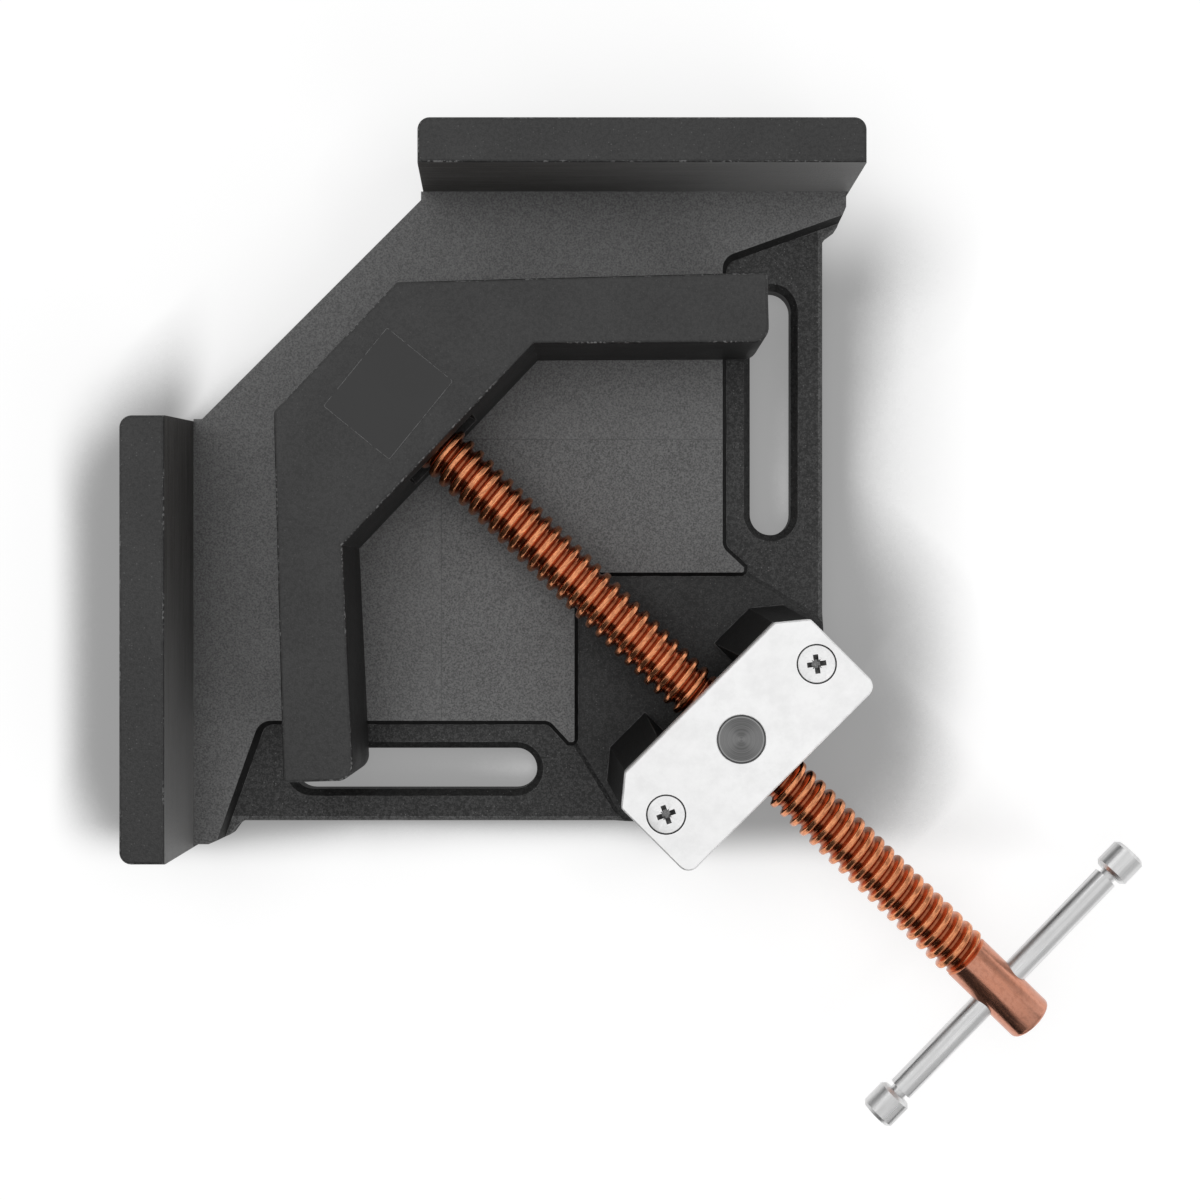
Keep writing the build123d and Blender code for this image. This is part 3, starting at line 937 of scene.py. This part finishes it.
@dataclass
class Bridge:
    """The bright plate on the posts, its two screws and the nut under it."""

    top: float = 0.047
    screw_spread: float = 0.0303
    screw_turns_deg: tuple[float, float] = (20.0, 8.0)
    head_radius: float = 0.0054
    head_height: float = 0.0030
    head_rim: float = 0.00025
    shank_radius: float = 0.0030
    shank_length: float = 0.0165
    recess: Place = (0.0027, 0.00078, 0.0019)
    tick: Place = (0.0023, 0.0002, 0.00035)
    blade_lift: float = 0.0004

    def build(self, shelf: EffectShelf) -> None:
        """Builds and dresses the bridge.

        Args:
            shelf: The shared effects.
        """
        centre = tuple(joint("nut_swivel")["pos_m"])
        step = self.screw_spread / math.sqrt(2.0)
        x, y, _ = centre
        holes = tuple((x + side, y + side, self.head_radius) for side in (-step, step))
        zinc = BoredPlate(
            name="zinc_plate",
            matt=(0.57, 0.47),
            colour=0.88,
            shade=0.8,
            stretch=(160.0, 160.0, 160.0),
            # The darkened edges are painted shade along the chamfers, broken up like wear.
            wear=0.8,
            wear_tone=0.3,
            holes=holes,
        )
        dress("bridge_plate", zinc.build(shelf))
        dress("swivel_nut", TurnedSteel(name="turned_steel", centre=centre).build(shelf))
        head = RecessedHead(
            name="zinc_screws",
            matt=(0.52, 0.4),
            colour=0.96,
            shade=0.86,
            stretch=(300.0, 300.0, 300.0),
            wear=0.4,
        )
        mount(self._screws(), head.build(shelf), Body.BASE, "bridge_screws")

    def _screws(self) -> Object:
        """Builds both screws, their recesses turned a little apart.

        Returns:
            One object with the two screws.
        """
        pivot = Vector(joint("nut_swivel")["pos_m"])
        diagonal = Vector((1.0, 1.0, 0.0)).normalized()
        pair = []
        for side, turn_deg in zip((-1.0, 1.0), self.screw_turns_deg):
            centre = pivot + diagonal * self.screw_spread * side
            centre.z = self.top
            pair.append(self._screw(Matrix.Translation(centre) @ turned_z(turn_deg)))
        return join("bridge_screw_pair", pair)

    def _screw(self, place: Matrix) -> Object:
        """Builds one countersunk screw with a cross recess.

        Args:
            place: The middle of the head's top, Z up.

        Returns:
            The screw.
        """
        rim = self.head_rim
        profile = [
            (0.0, 0.0),
            (0.0, self.head_radius - rim),
            (-rim * 0.4, self.head_radius),
            (-self.head_height, self.shank_radius),
            (-self.shank_length + self.shank_radius / 4, self.shank_radius),
            (-self.shank_length, self.shank_radius * 0.7),
            (-self.shank_length, 0.0),
        ]
        upright = place @ Matrix.Rotation(math.radians(-90.0), 4, "Y")
        screw = mesh_piece("screw", *lathe(profile, 64), upright)
        for size, turns_deg in ((self.recess, (0.0, 90.0)), (self.tick, (45.0, 135.0))):
            for turn_deg in turns_deg:
                cut(screw, self._blade(place @ turned_z(turn_deg), size))
        return screw

    def _blade(self, place: Matrix, size: Place) -> Object:
        """Builds one wedge of the driver's tip.

        Args:
            place: The middle of the head's top, turned the wedge's way.
            size: Its half length and half width at the top, and how deep it goes.

        Returns:
            The wedge.
        """
        reach, half, depth = size
        lift = self.blade_lift
        points = []
        for z, long, wide in ((lift, 1.0 + lift / reach, 1.0), (-depth, 0.45, 0.7)):
            x, y = reach * long, half * wide
            points += [(-x, -y, z), (x, -y, z), (x, y, z), (-x, y, z)]
        faces = [(0, 1, 2, 3), (7, 6, 5, 4), (0, 4, 5, 1), (1, 5, 6, 2), (2, 6, 7, 3), (3, 7, 4, 0)]
        return mesh_piece("blade", points, faces, place)


@dataclass
class Spindle:
    """The copper-plated screw with its trapezoidal thread, smooth head and journal."""

    pitch: float = 0.004
    major_radius: float = 0.008
    minor_radius: float = 0.0061
    crest_bias: float = 0.2
    crest_fullness: float = 4.2
    profile_points: int = 14
    thread_back: float = 0.0942
    thread_front: float = 0.1235
    head_radius: float = 0.00725
    head_length: float = 0.0269
    head_rounding: float = 0.0014
    head_overlap: float = 0.0006
    hole_from_end: float = 0.0135
    hole_radius: float = 0.00365
    journal_radius: float = 0.0055
    journal_end: float = 0.14565
    groove_radius: float = 0.0042
    groove_start: float = 0.13915
    groove_width: float = 0.0033
    steps: int = 56
    crease_deg: float = 40.0

    def build(self, shelf: EffectShelf) -> None:
        """Builds the threaded screw in place of the plain one.

        Args:
            shelf: The shared effects.
        """
        place = spindle_frame()
        thread = mesh_piece("thread", *self._thread(), place, self.crease_deg)
        screw = join("threaded_spindle", [thread, self._head(place), self._journal(place)], self.crease_deg)
        copper = CopperThread(
            name="copper_plate",
            root_radius=self.minor_radius,
            head_radius=self.head_radius,
            crest_radius=self.major_radius,
            head_end=-self.thread_back,
        )
        mount(screw, copper.build(shelf), Body.SPINDLE, "spindle")

    def _profile(self) -> list[tuple[float, float]]:
        """Works out one pitch of the worn thread, full at the crest.

        Returns:
            Pairs of place along the axis and radius.
        """
        count = self.profile_points
        waves = [math.cos(math.tau * i / count) + self.crest_bias for i in range(count)]
        steep = [1.0 / (1.0 + math.exp(-self.crest_fullness * wave)) for wave in waves]
        low, high = min(steep), max(steep)
        rise = self.major_radius - self.minor_radius
        return [
            (self.pitch * i / count, self.minor_radius + rise * (value - low) / (high - low))
            for i, value in enumerate(steep)
        ]

    def _thread(self) -> tuple[list, list]:
        """Builds the thread as one helical surface, chamfered and closed at both ends.

        Returns:
            The vertices and faces.
        """
        profile = self._profile()
        start, end = -self.thread_back, self.thread_front
        turns = math.ceil((end - start) / self.pitch) + 2
        points, faces = [], []
        for i in range(self.steps):
            turn = math.tau * i / self.steps
            for n in range(-1, turns):
                for along, radius in profile:
                    x = start + self.pitch * (n + i / self.steps) + along
                    inside = min(max(x, start), end)
                    limit = self.minor_radius + min(inside - start, end - inside)
                    r = min(radius, limit)
                    points.append((inside, r * math.cos(turn), r * math.sin(turn)))
        count = len(profile) * (turns + 1)
        for i in range(self.steps):
            last = i == self.steps - 1
            here = i * count
            there = 0 if last else (i + 1) * count
            shift = len(profile) if last else 0
            for j in range(count - 1 - shift):
                faces.append((here + j, there + j + shift, there + j + 1 + shift, here + j + 1))
        return points, faces

    def _head(self, place: Matrix) -> Object:
        """Builds the smooth head and bores it for the bar.

        Args:
            place: The spindle's frame.

        Returns:
            The head.
        """
        back = -(self.thread_back + self.head_length)
        front = -self.thread_back + self.head_overlap
        soft = self.head_rounding
        profile = [(back, 0.0)]
        for turn_deg in (90, 68, 45, 22, 0):
            turn = math.radians(turn_deg)
            x = back + soft * (1 - math.sin(turn))
            profile.append((x, self.head_radius - soft * (1 - math.cos(turn))))
        profile += [(front - soft / 2, self.head_radius), (front, self.head_radius - soft / 2)]
        profile += [(front, 0.0)]
        head = mesh_piece("head", *lathe(profile, 64), place)
        hole, half = self.hole_radius, 0.02
        drill = lathe([(-half, 0.0), (-half, hole), (half, hole), (half, 0.0)], 48)
        bore = place @ Matrix.Translation((back + self.hole_from_end, 0.0, 0.0)) @ turned_z(90.0)
        cut(head, mesh_piece("hole", *drill, bore))
        return head

    def _journal(self, place: Matrix) -> Object:
        """Builds the journal with its groove.

        Args:
            place: The spindle's frame.

        Returns:
            The journal.
        """
        start = self.thread_front - 0.001
        groove_end = self.groove_start + self.groove_width
        profile = [
            (start, 0.0),
            (start, self.journal_radius),
            (self.groove_start, self.journal_radius),
            (self.groove_start, self.groove_radius),
            (groove_end, self.groove_radius),
            (groove_end, self.journal_radius),
            (self.journal_end, self.journal_radius),
            (self.journal_end, 0.0),
        ]
        return mesh_piece("journal", *lathe(profile, 48), place)


@dataclass
class MovingJaw:
    """The V jaw, its bare label and the hidden barrel."""

    top: float = 0.0467
    label_length: float = 0.0242
    label_width: float = 0.0288
    label_turn_deg: float = 5.0
    label_thickness: float = 0.00015
    label_along: float = 0.1407
    label_across: float = -0.0007
    label_corner: float = 0.0006

    def build(self, shelf: EffectShelf) -> None:
        """Dresses the jaw and puts the label on it.

        Args:
            shelf: The shared effects.
        """
        dress("moving_jaw", CoatedCasting(name="coated_jaw", top_level=self.top).build(shelf))
        centre = tuple(joint("jaw_swivel")["pos_m"])
        steel = TurnedSteel(name="barrel_steel", centre=centre).build(shelf)
        dress("swivel_barrel", steel)
        dress("barrel_pins", steel)
        mount(self._label(), LabelFilm(name="label_film").build(shelf), Body.JAW)

    def _label(self) -> Object:
        """Builds the thin film with soft corners, stuck on a little askew.

        Returns:
            The label.
        """
        soft = self.label_corner
        long, wide = self.label_length / 2 - soft, self.label_width / 2 - soft
        outline = []
        for x, y, start in ((1, 1, 0), (-1, 1, 90), (-1, -1, 180), (1, -1, 270)):
            for turn_deg in (0, 30, 60, 90):
                turn = math.radians(start + turn_deg)
                outline.append((x * long + soft * math.cos(turn), y * wide + soft * math.sin(turn)))
        count = len(outline)
        points = [(x, y, z) for z in (0.0, self.label_thickness) for x, y in outline]
        faces = [tuple(range(count))[::-1], tuple(range(count, 2 * count))]
        faces += [(i, (i + 1) % count, (i + 1) % count + count, i + count) for i in range(count)]
        lift = self.top - joint("nut_swivel")["pos_m"][2]
        place = spindle_frame() @ Matrix.Translation((self.label_along, self.label_across, lift))
        return mesh_piece("bare_label", points, faces, place @ turned_z(self.label_turn_deg))


@dataclass
class TommyBar:
    """The sliding bar with its two knobs."""

    matt: Span = (0.42, 0.26)
    colour: float = 0.8
    shade: float = 0.6
    stretch: Place = (25.0, 500.0, 500.0)

    def build(self, shelf: EffectShelf) -> None:
        """Dresses the bar and the knobs.

        Args:
            shelf: The shared effects.
        """
        axis = joint("bar_slide")["axis"]
        steel = PlatedSteel(
            name="bright_steel",
            matt=self.matt,
            colour=self.colour,
            shade=self.shade,
            stretch=self.stretch,
            turn=-math.atan2(axis[1], axis[0]),
        )
        bright = steel.build(shelf)
        for node in ("tommy_bar", "bar_knob_left", "bar_knob_right"):
            dress(node, bright)


@dataclass(frozen=True)
class Lamp:
    """A square soft light that faces the clamp, placed from the clamp's middle."""

    name: str
    offset: Place
    side: float
    watts: float


@dataclass(frozen=True)
class Flag:
    """A card that only polished surfaces see, so that they aren't white all over."""

    name: str
    offset: Place
    width: float
    height: float
    level: float


@dataclass
class Studio:
    """The pale floor, the soft lights and the camera of the photograph."""

    axis: tuple[float, float] = (0.124, -0.1246)
    aim_height: float = 0.02
    camera_height: float = 0.533
    lens: float = 51.24
    sensor: float = 36.0
    floor_size: float = 6.0
    floor_tone: float = 0.4
    floor_bounce: float = 0.8
    glow: float = 0.75
    world_light: float = 0.34
    glow_span: Span = (0.3, 0.8)
    shade_level: float = 0.35
    shade_open: Span = (0.62, 0.99)
    shade_tilt_deg: float = 25.0
    shade_behind: float = 0.12
    shade_foot: Span = (-0.209, -0.193)
    shade_head: Span = (0.01, -0.03)
    shade_flank: Span = (0.005, -0.012)
    right_reach: float = 0.05
    left_reach: float = 0.036
    lamps: tuple[Lamp, ...] = (
        Lamp("key_light", (-0.45, 0.35, 1.25), 1.1, 4.6),
        Lamp("fill_light", (0.6, -0.6, 0.6), 0.6, 2.2),
        Lamp("top_light", (0.0, 0.0, 1.6), 0.9, 1.6),
    )
    flags: tuple[Flag, ...] = (
        Flag("ceiling_flag", (0.0, 0.0, 0.9), 1.4, 1.4, 0.85),
        Flag("left_flag", (-0.45, -0.5, 0.4), 1.3, 0.8, 0.05),
        Flag("back_flag", (-0.55, 0.55, 0.3), 0.8, 0.4, 0.35),
        Flag("right_flag", (0.6, 0.5, 0.45), 1.0, 0.6, 0.5),
        Flag("front_flag", (0.4, -0.4, 0.3), 0.8, 0.5, 0.5),
        Flag("low_flag", (0.01, -0.28, 0.025), 0.5, 0.05, 0.03),
    )

    def build(self) -> None:
        """Builds the studio."""
        self._camera()
        self._floor()
        self._world()
        for lamp in self.lamps:
            self._light(lamp)
        for flag in self.flags:
            self._card(flag)
        bpy.context.scene.view_settings.view_transform = "Standard"

    def _camera(self) -> None:
        """Puts the camera straight above the clamp."""
        data = bpy.data.cameras.new("camera")
        data.lens = self.lens
        data.sensor_width = self.sensor
        data.clip_start = 0.01
        camera = bpy.data.objects.new("camera", data)
        camera.location = (*self.axis, self.camera_height)
        bpy.context.scene.collection.objects.link(camera)
        bpy.context.scene.camera = camera

    def _facing(self, offset: Place) -> Matrix:
        """Works out the place and turn of something that faces the clamp.

        Args:
            offset: Where it stands from the clamp's middle.

        Returns:
            Its frame, with -Z towards the clamp.
        """
        place = Vector((*self.axis, 0.0)) + Vector(offset)
        aim = Vector((*self.axis, self.aim_height)) - place
        return Matrix.Translation(place) @ aim.to_track_quat("-Z", "Y").to_matrix().to_4x4()

    def _light(self, lamp: Lamp) -> None:
        """Adds a lamp.

        Args:
            lamp: The lamp.
        """
        data = bpy.data.lights.new(lamp.name, "AREA")
        data.size = lamp.side
        data.energy = lamp.watts
        light = bpy.data.objects.new(lamp.name, data)
        light.matrix_world = self._facing(lamp.offset)
        bpy.context.scene.collection.objects.link(light)

    @staticmethod
    def _sheet(name: str, width: float, height: float, place: Matrix) -> tuple[Object, Graph]:
        """Makes a flat sheet on the stage, with a material that has no shader yet.

        Args:
            name: The sheet's and the material's name.
            width: Its size along X.
            height: Its size along Y.
            place: Where it goes.

        Returns:
            The sheet and its material's graph.
        """
        x, y = width / 2, height / 2
        corners = [(-x, -y, 0.0), (x, -y, 0.0), (x, y, 0.0), (-x, y, 0.0)]
        sheet = mesh_piece(name, corners, [(0, 1, 2, 3)], place)
        material = bpy.data.materials.new(name)
        material.use_nodes = True
        material.node_tree.nodes.remove(material.node_tree.nodes["Principled BSDF"])
        sheet.data.materials.append(material)
        return sheet, Graph(material.node_tree)

    @staticmethod
    def _show(graph: Graph, shader: Node) -> None:
        """Links a shader to the material's output."""
        graph.feed(graph.tree.nodes["Material Output"].inputs["Surface"], shader.outputs[0])

    def _card(self, flag: Flag) -> None:
        """Adds a flag.

        Args:
            flag: The flag.
        """
        card, graph = self._sheet(flag.name, flag.width, flag.height, self._facing(flag.offset))
        self._show(graph, graph.add("Emission", None, {"Color": grey(flag.level), "Strength": 1.0}))
        card.visible_camera = card.visible_diffuse = False
        card.visible_shadow = card.visible_transmission = False

    def _floor(self) -> None:
        """Lays the floor, which the camera sees as white outside the shadow."""
        middle = (*self.axis, 0.0)
        size = self.floor_size
        graph = self._sheet("floor", size, size, Matrix.Translation(middle))[1]
        position = graph.geometry("Position")
        shade = self._both_shades(graph, graph.split(position))
        reach = graph.vector("LENGTH", graph.vector("SUBTRACT", position, middle))
        strength = graph.span(reach, *self.glow_span, self.glow, 1.0)
        shaded = graph.mix(shade, grey(0.0), grey(1.0))
        glow = graph.add("Emission", None, {"Color": shaded, "Strength": strength})
        tone = graph.mix(shade, grey(0.0), grey(self.floor_tone))
        lit = graph.add("BsdfDiffuse", None, {"Color": tone})
        both = graph.add("AddShader", None, {0: lit.outputs[0], 1: glow.outputs[0]})
        paint = graph.add("BsdfDiffuse", None, {"Color": grey(self.floor_bounce)})
        inputs = {0: background_rays(graph), 1: paint.outputs[0], 2: both.outputs[0]}
        self._show(graph, graph.add("MixShader", None, inputs))

    def _both_shades(self, graph: Graph, place: Sockets) -> Socket:
        """Works out the floor's soft shade to the right and to the left of the clamp.

        Args:
            graph: The floor material's graph.
            place: X, Y and Z.

        Returns:
            The shade's socket, 1 where there is none.
        """
        x, y, _ = place
        kept = (self.shade_behind, 1.0)
        below = graph.span(y, *self.shade_foot, *kept)
        strength = graph.math("MINIMUM", graph.span(y, *self.shade_head, *kept), below)
        right_side = self._shade(graph, -1.0, self.right_reach, strength)
        strength = graph.math("MINIMUM", graph.span(x, *self.shade_flank, *kept), below)
        left_side = self._shade(graph, 1.0, self.left_reach, strength)
        return graph.math("MINIMUM", right_side, left_side)

    def _shade(self, graph: Graph, side: float, reach: float, strength: Socket) -> Socket:
        """Works out how far the clamp shades the floor from one side.

        Args:
            graph: The floor material's graph.
            side: Which way to look for the clamp along X, -1 or 1.
            reach: How far the shade goes.
            strength: How much of the shade is kept.

        Returns:
            The shade's socket, 1 where there is none.
        """
        tilt = math.radians(self.shade_tilt_deg)
        look = graph.add("CombineXYZ", None, {0: side * math.cos(tilt), 2: math.sin(tilt)}).outputs[0]
        values = {"Distance": reach, "Normal": look}
        open_share = graph.add("AmbientOcclusion", {"samples": 32}, values).outputs["AO"]
        lost = graph.span(open_share, *self.shade_open, 1.0 - self.shade_level, 0.0)
        return graph.math("SUBTRACT", 1.0, graph.times(lost, strength))

    def _world(self) -> None:
        """Makes the world white to the camera and a dim grey to the rest."""
        world = bpy.data.worlds.new("studio")
        world.use_nodes = True
        bpy.context.scene.world = world
        graph = Graph(world.node_tree)
        ground = world.node_tree.nodes["Background"].inputs
        ground["Color"].default_value = grey(1.0)
        seen = background_rays(graph)
        graph.feed(ground["Strength"], graph.span(seen, 0.0, 1.0, self.world_light, 1.0))


def main() -> None:
    """Builds every sub-assembly in order and reports each piece."""
    logging.basicConfig(level=logging.INFO, format="%(name)s: %(message)s")
    shelf = EffectShelf()
    for assembly in (BaseCasting(), Bridge(), Spindle(), MovingJaw(), TommyBar()):
        assembly.build(shelf)
        LOG.info("finished %s", type(assembly).__name__)
    Studio().build()


if __name__ == "__main__":
    main()
